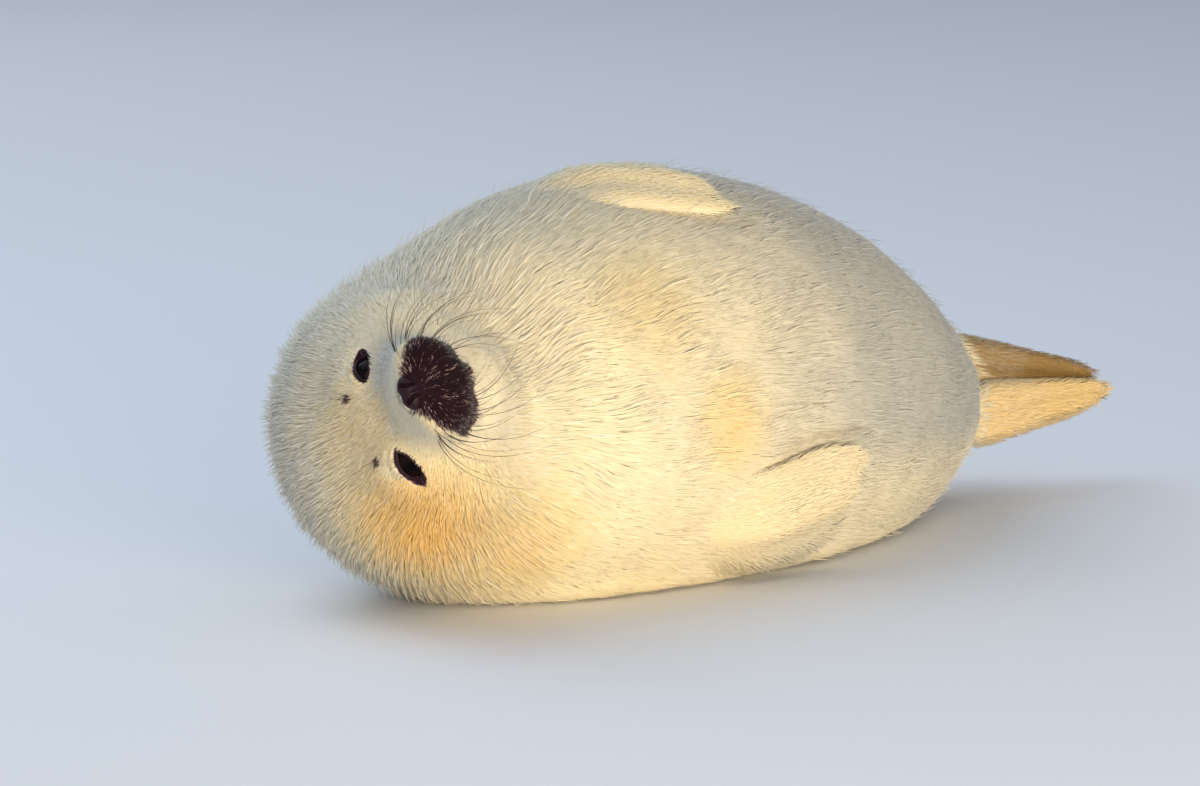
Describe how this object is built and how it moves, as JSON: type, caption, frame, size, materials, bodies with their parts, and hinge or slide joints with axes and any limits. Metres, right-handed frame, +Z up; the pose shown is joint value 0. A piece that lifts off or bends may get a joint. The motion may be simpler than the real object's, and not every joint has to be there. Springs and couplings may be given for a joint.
{
  "type": "harp seal pup",
  "caption": "Fat seal pup in a woolly white coat, lying on its right side with its belly turned up, head bowed to the viewer and flippers laid back; it rests on one flat underside.",
  "frame": {"origin": "middle of the model's length and width, on the floor under the trunk", "axes": "+X towards the tail, so the head is towards -X; +Z up; the belly faces -Y and up"},
  "size_m": [0.8822, 0.3261, 0.3014],
  "materials": {
    "coat": "soft dense fur",
    "dark_skin": "moist bare skin",
    "eye": "wet gloss",
    "claw": "horn",
    "whisker": "horn"
  },
  "bodies": {
    "root": {"head": "coat", "lower_jaw": "coat", "neck": "coat", "trunk": "coat", "hindquarters": "coat", "tail": "coat", "left_fore_flipper": "coat", "right_fore_flipper": "coat", "left_hind_flipper": "coat", "right_hind_flipper": "coat", "nose": "dark_skin", "left_eye": "eye", "right_eye": "eye"}
  },
  "joints": []
}
